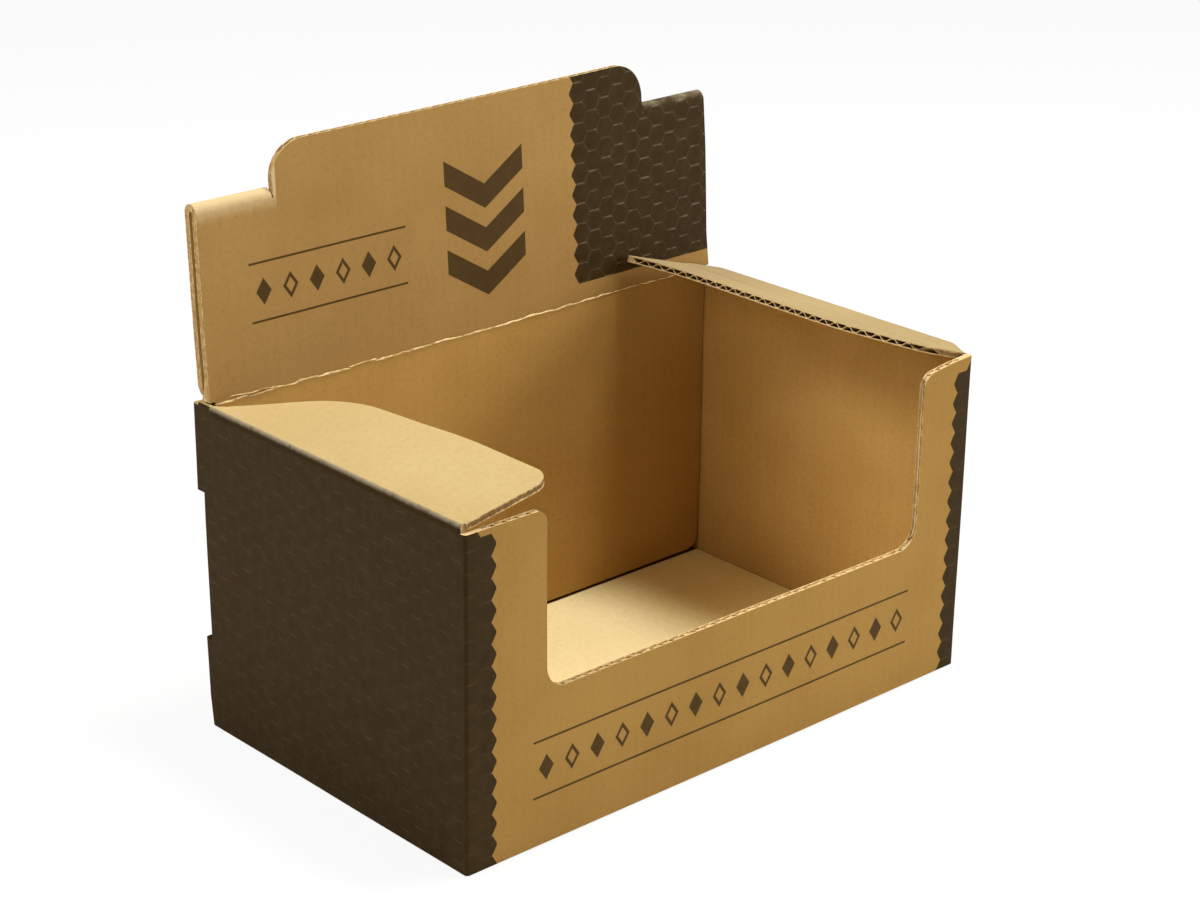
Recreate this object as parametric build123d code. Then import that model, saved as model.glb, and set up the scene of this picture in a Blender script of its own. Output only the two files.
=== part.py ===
from build123d import *
from math import cos, pi, radians, sin, tan
import os

os.makedirs("parts", exist_ok=True)

# Sizes in mm. X runs along the front, Y to the back, Z up; z = 0 is the counter.
width = 168.0            # tray, outside, along the front
depth = 100.0            # tray, outside, front to back
height = 87.0            # counter to the rim fold of the side walls
board = 1.7              # single-wall corrugated board
fold_radius = 1.0        # outside radius of a right-angled fold
fold_inside = 0.3        # its inside radius

# Front wall and its cut-out
left_post = 24.0         # wall left standing beside the cut-out
right_post = 18.0
lip_height = 39.4
post_drop = 2.1          # post tops below the rim
cutout_radius = 6.0
post_radius = 3.5

# Floor, folded from the back wall, with a glued flap behind the front lip
floor_clear = 0.3
glue_flap_height = 18.0
glue_flap_inset = 4.0

# Header: the back wall runs up, rolls over and comes down again inside the tray
header_inset = 0.7       # header side edges inside the tray sides
header_rise = 49.3       # rim to the top of the rolled shoulders
header_lean = 3.3        # degrees, to the back
layer_gap = 1.2          # between the two layers
tab_width = 121.0
tab_height = 11.5        # tab above the rolled shoulders
tab_radius = 9.3
tab_slit = 0.4
corner_cut = 3.0         # cut corner of the outer layer at the rim
inner_clear = 0.5        # inner back panel to the side walls
inner_bottom_gap = 1.0
inner_radius = 4.0
rim_step = 0.5           # front layer starts this far above the rim at its ends

# Slots across the two rear folds
slot_low = 24.0
slot_high = 63.5
slot_reach = 2.6

# Swinging flaps on the side walls
flap_rear_gap = 0.6      # to the front layer of the header
flap_front_inset = 1.2
flap_clear = 0.15
flap_end_slope = 0.6     # the wide end closes in by this much
left_tilt = 9.0          # degrees above flat, as the flaps stand
right_tilt = 18.0

# Left flap: a diagonal from the back, then parallel to the fold
left_reach = 27.0
left_corner_radius = 6.0
left_taper_reach = 21.0  # where the diagonal ends
left_taper_length = 26.5
left_taper_radius = 40.0
left_flat_start = 59.0   # where the free edge turns parallel to the fold
left_flat_radius = 110.0

# Right flap: a short nose at the front, and a flare to its sharp rear tip
right_nose_reach = 14.0
right_nose_length = 5.0
right_nose_radius = 6.0
right_shoulder_reach = 24.6
right_shoulder_length = 24.0
right_shoulder_radius = 30.0
right_reach = 26.6
right_flare_length = 17.0
right_flare_radius = 30.0
right_tip_reach = 33.8
right_tip_radius = 1.0

# Corrugation: an arched medium between two liners leaves two rows of channels
flute_pitch = 3.5
liner = 0.25
medium = 0.22
glue_line = 0.9          # flat of the arched medium where it meets a liner
crease_margin = 3.0      # crushed strip beside a fold
flute_margin = 2.0       # solid strip at a panel's ends

half_w = width / 2
half_d = depth / 2
half_t = board / 2
fold_height = height - half_t


def block(x0, x1, y0, y1, z0, z1):
    place = Pos((x0 + x1) / 2, (y0 + y1) / 2, (z0 + z1) / 2)
    return place * Box(x1 - x0, y1 - y0, z1 - z0)


def rod(radius, y0, y1, x, z):
    return Pos(x, (y0 + y1) / 2, z) * Rot(90, 0, 0) * Cylinder(radius, y1 - y0)


# Channels of both rows, along the normal of the plane mouth, between two places on its x axis
def flutes(mouth, first, last, length):
    rise = half_t - liner
    half_mouth = (flute_pitch - glue_line) / 2
    half_crown = (glue_line - medium / 2) / 2
    arch = Polyline(
        (-half_mouth, rise),
        (half_mouth, rise),
        (half_crown, medium - rise),
        (-half_crown, medium - rise),
        close=True,
    )
    upper = make_face(arch)
    lower = upper.mirror(Plane.XZ)
    count = int((last - first) / flute_pitch)
    start = (first + last - count * flute_pitch) / 2 + flute_pitch / 4
    channels = []
    for step in range(count):
        at = start + step * flute_pitch
        channels.append(extrude(mouth * Pos(at, 0) * upper, amount=length))
        channels.append(extrude(mouth * Pos(at + flute_pitch / 2, 0) * lower, amount=length))
    return channels


# Four walls in one ring with rounded upright folds
ring = RectangleRounded(width, depth, fold_radius)
ring -= RectangleRounded(width - 2 * board, depth - 2 * board, fold_inside)
blank = extrude(ring, amount=fold_height)

# Rounded rim folds that the flaps swing on
rim_front = -half_d + board + fold_inside
rim_rear = half_d - board - fold_inside
for side in (-1, 1):
    blank += rod(half_t, rim_front, rim_rear, side * (half_w - half_t), fold_height)

# Posts stop below the rim
post_top = height - post_drop
blank -= block(-half_w - 1, half_w + 1, -half_d - 1, rim_front, post_top, height + 1)

# Cut-out of the front wall: rounded below, and rounded post corners above
cut_left = -half_w + left_post
cut_right = half_w - right_post
outline = Polyline(
    (cut_left - post_radius, height + 5),
    (cut_left - post_radius, post_top),
    (cut_left, post_top - post_radius),
    (cut_left, lip_height),
    (cut_right, lip_height),
    (cut_right, post_top - post_radius),
    (cut_right + post_radius, post_top),
    (cut_right + post_radius, height + 5),
    close=True,
)
window = make_face(outline)
window = fillet(window.vertices().group_by(Axis.Y)[0], cutout_radius)
for side, edge in ((-1, cut_left), (1, cut_right)):
    centre = (edge + side * post_radius, post_top - post_radius)
    window -= Pos(*centre) * Circle(post_radius)
front_plane = Plane(origin=(0, -half_d + half_t, 0), x_dir=(1, 0, 0), z_dir=(0, -1, 0))
blank -= extrude(front_plane * window, amount=board, both=True)

# Upright flutes: open at every cut edge of the front wall, and under the side walls
front_mouth = Plane(origin=(0, -half_d + half_t, -board), x_dir=(1, 0, 0), z_dir=(0, 0, 1))
front_span = half_w - board - flute_margin
blank -= flutes(front_mouth, -front_span, front_span, height + 2 * board)
side_span = half_d - board - flute_margin
for side in (-1, 1):
    side_mouth = Plane(origin=(side * (half_w - half_t), 0, -board), x_dir=(0, 1, 0), z_dir=(0, 0, 1))
    blank -= flutes(side_mouth, -side_span, side_span, fold_height + board - crease_margin)

# Slots across the rear folds
for side in (-1, 1):
    near = side * (half_w - slot_reach)
    far = side * (half_w + 1)
    blank -= block(min(near, far), max(near, far), half_d - slot_reach, half_d + 1, slot_low, slot_high)

# Floor with its rounded fold at the back wall, and the flap glued behind the lip
floor_half = half_w - board - floor_clear
flap_face = -half_d + board + floor_clear
blank += block(-floor_half, floor_half, flap_face, half_d - half_t, 0, board)
glue_half = floor_half - glue_flap_inset
glue_plane = Plane(origin=(0, flap_face + half_t, 0), x_dir=(1, 0, 0), z_dir=(0, -1, 0))
glue = Pos(0, glue_flap_height / 2) * Rectangle(2 * glue_half, glue_flap_height)
glue = fillet(glue.vertices().group_by(Axis.Y)[-1], inner_radius)
blank += extrude(glue_plane * glue, amount=half_t, both=True)
corner = Rectangle(fold_radius, fold_radius, align=(Align.MIN, Align.MIN))
corner -= Pos(fold_radius, fold_radius) * Circle(fold_radius)
back_corner = Plane(origin=(0, half_d, 0), x_dir=(0, -1, 0), z_dir=(-1, 0, 0))
blank -= extrude(back_corner * corner, amount=floor_half, both=True)
front_corner = Plane(origin=(0, flap_face, 0), x_dir=(0, 1, 0), z_dir=(1, 0, 0))
blank -= extrude(front_corner * corner, amount=glue_half, both=True)

# Section of the header: up the outer layer, over the roll, down to the inner back panel
lean = radians(header_lean)
up = Vector(sin(lean), cos(lean))
back = Vector(cos(lean), -sin(lean))
pitch_layers = layer_gap + board
roll_outer = board + layer_gap / 2
roll_rise = header_rise - roll_outer
outer_root = Vector(half_d - half_t, height)
outer_top = outer_root + up * roll_rise
roll_centre = outer_top - back * (pitch_layers / 2)
front_top = outer_top - back * pitch_layers
crease_drop = roll_rise + pitch_layers * tan(lean)
crease = front_top - up * crease_drop
mitre = half_t * tan(lean / 2)
stub = 3.0


def bend_side(root, top, push, end):
    start = Vector(root.X + push * half_t, end)
    turn = Vector(root.X + push * half_t, root.Y - push * mitre)
    finish = top + back * (push * half_t)
    return [start, turn, finish]


outer_face = bend_side(outer_root, outer_top, 1, height - stub)
outer_inside = bend_side(outer_root, outer_top, -1, height - stub)
front_inside = bend_side(crease, front_top, 1, height - stub)
front_face = bend_side(crease, front_top, -1, height - stub)
roll_top = roll_centre + up * roll_outer
roll_under = roll_centre + up * (layer_gap / 2)
section = make_face([
    Polyline(*outer_face),
    ThreePointArc(outer_face[2], roll_top, front_face[2]),
    Polyline(*reversed(front_face)),
    Line(front_face[0], front_inside[0]),
    Polyline(*front_inside),
    ThreePointArc(front_inside[2], roll_under, outer_inside[2]),
    Polyline(*reversed(outer_inside)),
    Line(outer_inside[0], outer_face[0]),
])
header_half = half_w - header_inset
header = extrude(Plane.YZ * section, amount=header_half, both=True)

# Front layer is narrower below the rim, where it goes down between the side walls
inner_half = half_w - board - inner_clear
between = half_d - board - layer_gap / 2
for side in (-1, 1):
    near = side * inner_half
    far = side * half_w
    header -= block(min(near, far), max(near, far), half_d - 3 * pitch_layers, between,
                    height - 2 * stub, height + rim_step)

# Cut corners of the outer layer at the rim
for side in (-1, 1):
    cut = Polyline(
        (side * half_w, height - 2 * stub),
        (side * half_w, height + 1.2 * corner_cut),
        (side * header_half, height + 1.2 * corner_cut),
        (side * (half_w - corner_cut), height + 0.2),
        (side * (half_w - corner_cut), height - 2 * stub),
        close=True,
    )
    cut_plane = Plane(origin=(0, half_d + board, 0), x_dir=(1, 0, 0), z_dir=(0, -1, 0))
    header -= extrude(cut_plane * make_face(cut), amount=half_d + board - between)

# Tab: stands up from the front layer and leaves its own shape open in the outer layer
face_plane = Plane(origin=(0, crease.X, height), x_dir=(1, 0, 0), z_dir=(0, -cos(lean), sin(lean)))
tab_half = tab_width / 2
opening = Pos(0, crease_drop + roll_outer) * Rectangle(tab_width + 2 * tab_slit, 2 * roll_outer)
header -= extrude(face_plane * opening, amount=3 * pitch_layers, both=True)
tab_rise = header_rise + tab_height
tab_above = tab_rise - roll_rise
recess_depth = tab_above - pi * pitch_layers / 2
recess_top = roll_rise + roll_outer
recess = Pos(0, recess_top) * Rectangle(
    tab_width + 2 * tab_slit, recess_depth + roll_outer, align=(Align.CENTER, Align.MAX))
recess = fillet(recess.vertices().group_by(Axis.Y)[0], min(tab_radius, 0.9 * recess_depth))
outer_plane = face_plane.offset(-pitch_layers)
header -= extrude(outer_plane * recess, amount=half_t + layer_gap / 3, both=True)
tab = Pos(0, crease_drop - stub) * Rectangle(
    tab_width, tab_rise - crease_drop + stub, align=(Align.CENTER, Align.MIN))
tab = fillet(tab.vertices().group_by(Axis.Y)[-1], tab_radius)
header += extrude(face_plane * tab, amount=half_t, both=True)

# Flutes of the header, open at the top of the tab and at the recess behind it
tab_span = tab_half - flute_margin
flute_up = (0, sin(lean), cos(lean))
tab_root = face_plane.from_local_coords(Vector(0, crease_margin, 0))
tab_mouth = Plane(origin=tab_root, x_dir=(1, 0, 0), z_dir=flute_up)
header -= flutes(tab_mouth, -tab_span, tab_span, tab_rise)
recess_root = outer_plane.from_local_coords(Vector(0, crease_margin, 0))
recess_mouth = Plane(origin=recess_root, x_dir=(1, 0, 0), z_dir=flute_up)
header -= flutes(recess_mouth, -tab_span, tab_span, roll_rise - crease_margin)

# Inner back panel, from the crease down to just above the floor
inner_low = board + inner_bottom_gap
inner = Pos(0, inner_low) * Rectangle(
    2 * inner_half, height - stub / 2 - inner_low, align=(Align.CENTER, Align.MIN))
inner = fillet(inner.vertices().group_by(Axis.Y)[0], inner_radius)
inner_plane = Plane(origin=(0, crease.X, 0), x_dir=(1, 0, 0), z_dir=(0, -1, 0))
header += extrude(inner_plane * inner, amount=half_t, both=True)

blank += header

# Flap in its own frame: the fold is the Y axis, u runs along X, upper face at +board / 2
flap_rear = crease.X - half_t - flap_rear_gap
flap_length = flap_rear - (-half_d + flap_front_inset)
swing_radius = half_t + flap_clear


def corner_at(sketch, x, y):
    return min(sketch.vertices(), key=lambda v: (v.X - x) ** 2 + (v.Y - y) ** 2)


# Free edge by its corners: reach from the fold, place along it from the narrow end, radius
def swinging_flap(corners):
    points = [(reach, -along) for reach, along, radius in corners]
    face = make_face(Polyline((0, 0), *points, (0, -flap_length), close=True))
    for reach, along, radius in corners:
        face = fillet(corner_at(face, reach, -along), radius)
    flap = extrude(face, amount=half_t, both=True)
    flap -= rod(swing_radius, -flap_length - 1, 1, 0, 0)
    flap -= block(-1, swing_radius, -flap_length - 1, 1, -board, 0)
    mouth = Plane(origin=(crease_margin, 0, 0), x_dir=(0, -1, 0), z_dir=(1, 0, 0))
    end_reach, end_length, end_radius = corners[0]
    narrow_end = end_length * (crease_margin + flute_margin) / end_reach
    first_flute = max(flute_margin, narrow_end)
    widest = max(reach for reach, along, radius in corners)
    flap -= flutes(mouth, first_flute, flap_length - flute_margin, widest)
    return flap


wide_end = flap_length - flap_end_slope
left_shape = swinging_flap([
    (left_taper_reach, left_taper_length, left_taper_radius),
    (left_reach, left_flat_start, left_flat_radius),
    (left_reach, wide_end, left_corner_radius),
])
right_shape = swinging_flap([
    (right_nose_reach, right_nose_length, right_nose_radius),
    (right_shoulder_reach, right_shoulder_length, right_shoulder_radius),
    (right_reach, wide_end - right_flare_length, right_flare_radius),
    (right_tip_reach, wide_end, right_tip_radius),
])

# The left flap's narrow end is at the back, the right flap's at the front
left_fold = Pos(-half_w + half_t, flap_rear, fold_height)
left_flap = left_fold * Rot(0, -left_tilt, 0) * left_shape
right_fold = Pos(half_w - half_t, flap_rear - flap_length, fold_height)
right_flap = right_fold * Rot(0, right_tilt, 0) * Rot(0, 0, 180) * right_shape

for name, shape in (
    ("folded_blank", blank),
    ("left_flap", left_flap),
    ("right_flap", right_flap),
):
    export_step(shape, f"parts/{name}.step")
    print(name, round(shape.volume, 1), len(shape.solids()), shape.bounding_box())
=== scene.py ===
import math

import bmesh
import bpy
from mathutils import Matrix, Vector, noise


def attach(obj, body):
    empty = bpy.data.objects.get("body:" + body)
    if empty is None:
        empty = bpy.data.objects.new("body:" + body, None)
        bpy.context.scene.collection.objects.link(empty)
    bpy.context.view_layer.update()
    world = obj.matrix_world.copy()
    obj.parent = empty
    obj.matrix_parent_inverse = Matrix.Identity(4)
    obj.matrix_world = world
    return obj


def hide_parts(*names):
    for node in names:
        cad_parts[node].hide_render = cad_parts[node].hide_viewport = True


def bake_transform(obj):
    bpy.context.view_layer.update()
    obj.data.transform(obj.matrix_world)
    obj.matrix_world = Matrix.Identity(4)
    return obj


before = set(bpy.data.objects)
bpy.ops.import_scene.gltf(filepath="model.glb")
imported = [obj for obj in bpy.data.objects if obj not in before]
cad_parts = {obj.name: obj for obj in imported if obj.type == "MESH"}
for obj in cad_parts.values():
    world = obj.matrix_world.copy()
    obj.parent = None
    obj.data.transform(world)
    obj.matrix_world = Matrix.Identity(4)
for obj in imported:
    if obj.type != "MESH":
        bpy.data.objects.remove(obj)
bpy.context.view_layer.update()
scene = bpy.context.scene
scene.view_settings.view_transform = "Standard"
mm = 0.001
print("frame loaded:", sorted(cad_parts))

# folded board, in mm, in the frame of the solids
board = {
    "halfWidth": 84.0,
    "halfDepth": 50.0,
    "rim": 87.0,
    "thick": 1.7,
    "foldRadius": 1.0,
    "foldInside": 0.3,
    "lean": math.radians(3.3),
    "layerGap": 1.2,
    "headerRise": 49.3,
    "flutePitch": 3.5,
    "leftTilt": math.radians(9.0),
    "rightTilt": math.radians(18.0),
}
halfThick = board["thick"] / 2
layerPitch = board["layerGap"] + board["thick"]
rollRadius = board["thick"] + board["layerGap"] / 2
rollRise = board["headerRise"] - rollRadius
outerY = board["halfDepth"] - halfThick  # middle of the outer layer at the rim
creaseY = outerY - layerPitch / math.cos(board["lean"])  # middle of the front layer at the rim
hingeX = board["halfWidth"] - halfThick
hingeZ = board["rim"] - halfThick
headerUp = Vector((0, math.sin(board["lean"]), math.cos(board["lean"])))
headerBack = Vector((0, math.cos(board["lean"]), -math.sin(board["lean"])))
rollAxis = Vector((0, outerY, board["rim"])) + headerUp * rollRise - headerBack * (layerPitch / 2)


# shader helpers
def feed(tree, target, value):
    if isinstance(value, bpy.types.NodeSocket):
        tree.links.new(value, target)
    else:
        target.default_value = value


def addNode(tree, kind, inputs, **settings):
    node = tree.nodes.new(kind)
    for key, value in settings.items():
        setattr(node, key, value)
    for key, value in inputs.items():
        feed(tree, node.inputs[key], value)
    return node


def calc(tree, operation, *terms):
    return addNode(tree, "ShaderNodeMath", dict(enumerate(terms)), operation=operation).outputs[0]


def vectorCalc(tree, operation, *terms):
    return addNode(tree, "ShaderNodeVectorMath", dict(enumerate(terms)), operation=operation).outputs


def rise(tree, value, low, high):
    inputs = {"Value": value, "From Min": low, "From Max": high}
    return addNode(tree, "ShaderNodeMapRange", inputs, interpolation_type="SMOOTHSTEP").outputs[0]


def both(tree, *masks):
    result = masks[0]
    for mask in masks[1:]:
        result = calc(tree, "MULTIPLY", result, mask)
    return result


def either(tree, *masks):
    result = masks[0]
    for mask in masks[1:]:
        result = calc(tree, "MAXIMUM", result, mask)
    return result


def outside(tree, mask):
    return calc(tree, "SUBTRACT", 1.0, mask)


def within(tree, value, low, high, soft):
    begins = rise(tree, value, low - soft, low + soft)
    ends = rise(tree, value, high + soft, high - soft)
    return both(tree, begins, ends)


def between(tree, share, first, second):
    return addNode(tree, "ShaderNodeMix", {0: share, 2: first, 3: second}).outputs[0]


def socket(sockets, identifier):
    return next(s for s in sockets if s.identifier == identifier)


def mixed(tree, share, first, second):
    node = addNode(tree, "ShaderNodeMix", {}, data_type="RGBA")
    for identifier, value in (("Factor_Float", share), ("A_Color", first), ("B_Color", second)):
        feed(tree, socket(node.inputs, identifier), value)
    return socket(node.outputs, "Result_Color")


def stretched(tree, place, scale):
    return vectorCalc(tree, "MULTIPLY", place, scale)[0]


# a noise by its look: scale per mm, detail and roughness, and its stretch if it has one
def grain(tree, place, look):
    if "stretch" in look:
        place = stretched(tree, place, look["stretch"])
    inputs = {"Vector": place, "Scale": look["scale"], "Detail": look["detail"], "Roughness": look["rough"]}
    return addNode(tree, "ShaderNodeTexNoise", inputs).outputs[0]


# how much of a noise shows: nothing below low, the most above high
def shown(tree, value, look):
    return calc(tree, "MULTIPLY", rise(tree, value, look["low"], look["high"]), look["most"])


def spread(tree, place, look):
    return shown(tree, grain(tree, place, look), look)


# screen colour, 0 to 255, to the linear one of the shaders
def paint(red, green, blue):
    linear = []
    for value in (red, green, blue):
        share = value / 255
        linear.append(share / 12.92 if share <= 0.04045 else ((share + 0.055) / 1.055) ** 2.4)
    return (*linear, 1.0)


halfCell = math.sqrt(3.0) / 2  # half the height of a six-sided cell, in sides


# cells with flat tops: middle across and up, distance to the edge in sides, flat edge or not
def honeycomb(tree, across, up, side):
    repeat = (3.0, 2 * halfCell, 1.0)
    place = addNode(tree, "ShaderNodeCombineXYZ", {0: across, 1: up}).outputs[0]
    place = stretched(tree, place, (1 / side, 1 / side, 0))
    offsets = []
    lengths = []
    for shift in (0.5, 0.0):  # two grids of cells, half a step apart
        cell = vectorCalc(tree, "DIVIDE", place, repeat)[0]
        cell = vectorCalc(tree, "ADD", cell, (shift, shift, 0))[0]
        cell = vectorCalc(tree, "FRACTION", cell)[0]
        cell = vectorCalc(tree, "SUBTRACT", cell, (0.5, 0.5, 0))[0]
        offsets.append(stretched(tree, cell, repeat))
        lengths.append(vectorCalc(tree, "LENGTH", offsets[-1])["Value"])
    nearer = calc(tree, "LESS_THAN", lengths[0], lengths[1])
    pick = addNode(tree, "ShaderNodeMix", {}, data_type="VECTOR")
    for identifier, value in (("Factor_Float", nearer), ("A_Vector", offsets[1]), ("B_Vector", offsets[0])):
        feed(tree, socket(pick.inputs, identifier), value)
    offset = socket(pick.outputs, "Result_Vector")
    middle = vectorCalc(tree, "SUBTRACT", place, offset)[0]
    middle = stretched(tree, middle, (side, side, 0))
    middle = addNode(tree, "ShaderNodeSeparateXYZ", {0: middle}).outputs
    size = vectorCalc(tree, "ABSOLUTE", offset)[0]
    size = addNode(tree, "ShaderNodeSeparateXYZ", {0: size}).outputs
    slanted = calc(tree, "MULTIPLY_ADD", size[0], halfCell, calc(tree, "MULTIPLY", size[1], 0.5))
    flat = calc(tree, "GREATER_THAN", size[1], slanted)
    reach = calc(tree, "MAXIMUM", size[1], slanted)
    return middle[0], middle[1], calc(tree, "SUBTRACT", halfCell, reach), flat


kraft = {
    "printSide": ((124, 90, 41), (153, 117, 59), (169, 136, 78)),  # deep, usual, pale
    "header": ((126, 92, 47), (154, 119, 66), (172, 140, 86)),
    "inside": ((150, 112, 55), (194, 156, 90), (213, 180, 116)),
    "panel": ((140, 101, 45), (175, 136, 72), (196, 160, 96)),  # header below the rim
    # flaps: the outer board painted paler, as painted light on the flaps' upward faces
    "flap": ((155, 126, 76), (177, 153, 104), (190, 169, 123)),
    # right flap: the flap's board painted darker, as painted shade on the right flap
    "rightFlapShaded": ((142, 116, 73), (163, 141, 99), (176, 157, 117)),
    # floor: the inside board painted paler, as painted light falling on the floor
    "floor": ((206, 180, 120), (238, 217, 161), (245, 229, 178)),
    # painted warm bounce light on the shaded right part of the floor
    "floorPaintedBounce": ((216, 182, 104), (250, 224, 146), (253, 234, 164)),
    "cut": ((164, 128, 78), (207, 177, 122), (224, 201, 154)),
    "paintedCoreShade": (90, 64, 34),  # painted shade in the flute mouths between the liners
    "paintedGapShade": (88, 56, 28),  # painted shade on the floor under the inner back panel
    "ink": (49, 34, 8),
    "inkPale": (83, 66, 38),
    "cellLine": (112, 100, 82),
    "rubbed": (143, 130, 104),
    "roll": (196, 174, 130),  # painted highlight over the header's roll, partly bare board worn pale
    "speck": (92, 62, 30),
    "evenness": 0.82,  # share of the usual tone
    "washboard": 0.006,  # mm
    "fibre": 0.010,
    "specular": 0.06,
}
roughness = {"printSide": 0.82, "ink": 0.60, "plain": 0.84, "cut": 0.92, "foldSkin": 0.74, "crease": 0.90}
faceLook = {
    "cloud": dict(scale=0.03, detail=2, rough=0.55, low=0.25, high=0.75, most=1.0),
    "patch": dict(scale=0.9, detail=4, rough=0.65, low=0.42, high=0.78, most=0.30),
    "fibres": dict(scale=1.6, detail=3, rough=0.6, low=0.56, high=0.80, most=0.34, stretch=(0.7, 0.7, 3.2)),
    "threads": dict(scale=1.6, detail=3, rough=0.6, low=0.58, high=0.82, most=0.26, stretch=(3.0, 3.0, 0.6)),
    "specks": dict(scale=1.6, detail=1, rough=0.4, low=0.74, high=0.80, most=0.5),
    # painted shade in the troughs of the washboard ripples over the flutes
    "flutes": dict(low=-1.0, high=1.0, most=0.04),
}


# plain kraft board seen from its face; across runs over the flutes
def kraftFace(tree, place, across, tones):
    deep, usual, pale = [paint(*tone) for tone in tones]
    fibres = grain(tree, place, faceLook["fibres"])
    threads = grain(tree, place, faceLook["threads"])
    wave = calc(tree, "COSINE", calc(tree, "MULTIPLY", across, math.tau / board["flutePitch"]))
    colour = mixed(tree, spread(tree, place, faceLook["cloud"]), deep, pale)
    colour = mixed(tree, kraft["evenness"], colour, usual)
    colour = mixed(tree, spread(tree, place, faceLook["patch"]), colour, deep)
    colour = mixed(tree, shown(tree, fibres, faceLook["fibres"]), colour, pale)
    colour = mixed(tree, shown(tree, threads, faceLook["threads"]), colour, deep)
    # painted shade along the washboard ripples
    colour = mixed(tree, shown(tree, wave, faceLook["flutes"]), colour, deep)
    colour = mixed(tree, spread(tree, place, faceLook["specks"]), colour, paint(*kraft["speck"]))
    height = calc(tree, "MULTIPLY", wave, kraft["washboard"])
    height = calc(tree, "MULTIPLY_ADD", fibres, kraft["fibre"], height)
    height = calc(tree, "MULTIPLY_ADD", threads, kraft["fibre"], height)
    return colour, height, wave


def startMaterial(name):
    material = bpy.data.materials.new(name)
    material.use_nodes = True
    tree = material.node_tree
    objectPlace = tree.nodes.new("ShaderNodeTexCoord").outputs["Object"]
    inMm = addNode(tree, "ShaderNodeVectorMath", {0: objectPlace, 3: 1 / mm}, operation="SCALE")
    place = inMm.outputs[0]
    axes = addNode(tree, "ShaderNodeSeparateXYZ", {0: place}).outputs
    return material, tree, place, axes


def finishMaterial(material, colour, height, rough):
    tree = material.node_tree
    shader = tree.nodes["Principled BSDF"]
    bump = addNode(tree, "ShaderNodeBump", {"Height": height, "Distance": mm, "Strength": 1.0})
    for key, value in (("Base Color", colour), ("Roughness", rough), ("Normal", bump.outputs[0])):
        feed(tree, shader.inputs[key], value)
    shader.inputs["Specular IOR Level"].default_value = kraft["specular"]
    return material


inkLook = {
    "pinholes": dict(scale=2.4, detail=2, rough=0.5, low=0.70, high=0.80, most=0.45),
    "worn": dict(scale=0.30, detail=4, rough=0.6, low=0.35, high=0.85, most=0.22),
    "flutes": dict(low=-1.0, high=1.0, most=0.02),
    "art": 0.90,  # strength of the diamonds and chevrons
    "soft": 0.03,  # soft edge of the print, mm
}


# ink laid over kraft: thin at the flute tips, with pinholes and cell lines
def inked(tree, place, colour, wave, mask, line):
    full = paint(*kraft["ink"])
    thin = paint(*kraft["inkPale"])
    cover = outside(tree, spread(tree, place, inkLook["pinholes"]))
    tint = mixed(tree, spread(tree, place, inkLook["worn"]), full, thin)
    tint = mixed(tree, shown(tree, wave, inkLook["flutes"]), tint, thin)
    tint = mixed(tree, line, tint, paint(*kraft["cellLine"]))
    return mixed(tree, both(tree, mask, cover), colour, tint)


honey = {
    "side": 3.11,
    "line": 0.05,  # half width of a cell line, in sides
    "lineOuter": 2.4,  # its soft edge, in half widths
    "lineInner": 0.6,
    "flatLine": 0.62,
    "slantLine": 0.15,
    "wallLine": 0.20,  # share of a line's strength that shows on the walls
    "dashes": dict(scale=0.35, detail=2, rough=0.55, low=0.38, high=0.66, most=0.72),
    "dashLeast": 0.28,
    "frontLeft": 78.0,  # middle of the last column on the front, from the middle of the box
    "frontRight": 80.3,
    "firstNotch": 83.4,  # height of the first notch of the scalloped edge
    "back": 78.0,
    "header": 36.7,
    "headerNotch": 130.0,
    "headerFoot": 92.2,
    "headerWrap": 131.0,
    "wrapSoft": 0.1,
    "tip": 0.945,  # rounding of the scalloped edge, in sides
    "tipSoft": 0.04,
    "slack": 0.5,  # mm, when columns and rows of cells are told apart
    "faceDepth": 0.8,  # mm into the board that still belongs to the front or back
}


# cells from the first column on, without the rounded-off tips of the first and last column
def scalloped(tree, along, up, middle, level, last):
    out = calc(tree, "SUBTRACT", middle, along)
    away = calc(tree, "SUBTRACT", up, level)
    square = calc(tree, "MULTIPLY_ADD", out, out, calc(tree, "MULTIPLY", away, away))
    radius = calc(tree, "SQRT", square)
    limit = honey["tip"] * honey["side"]
    half = honey["side"] / 2
    isFirst = calc(tree, "LESS_THAN", middle, half)
    isLast = calc(tree, "GREATER_THAN", middle, last - 3 * half)
    firstTips = both(tree, isFirst, calc(tree, "GREATER_THAN", out, half))
    lastTips = both(tree, isLast, calc(tree, "LESS_THAN", out, -half))
    beyond = rise(tree, radius, limit - honey["tipSoft"], limit + honey["tipSoft"])
    tips = both(tree, either(tree, firstTips, lastTips), beyond)
    return both(tree, calc(tree, "GREATER_THAN", middle, -honey["slack"]), outside(tree, tips))


# the flat edges of the cells show as dashes, the slanted ones hardly at all
def brokenLine(tree, place, edge, flat):
    dashes = calc(tree, "ADD", spread(tree, place, honey["dashes"]), honey["dashLeast"])
    strength = between(tree, flat, honey["slantLine"], honey["flatLine"])
    outer = honey["lineOuter"] * honey["line"]
    inner = honey["lineInner"] * honey["line"]
    return both(tree, rise(tree, edge, outer, inner), dashes, strength)


diamonds = {
    "pitch": 8.0,
    "halfWidth": 2.3,
    "halfHeight": 3.4,
    "edge": (1.03, 0.97),  # shares of a diamond's size
    "hollow": (0.55, 0.61),
    "ruleAway": 7.0,
    "rule": 0.55,
    "lip": {"from": -64.0, "to": 64.0, "middle": 20.0},
    "header": {"from": -70.0, "to": -22.0, "middle": 112.0},
}


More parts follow.
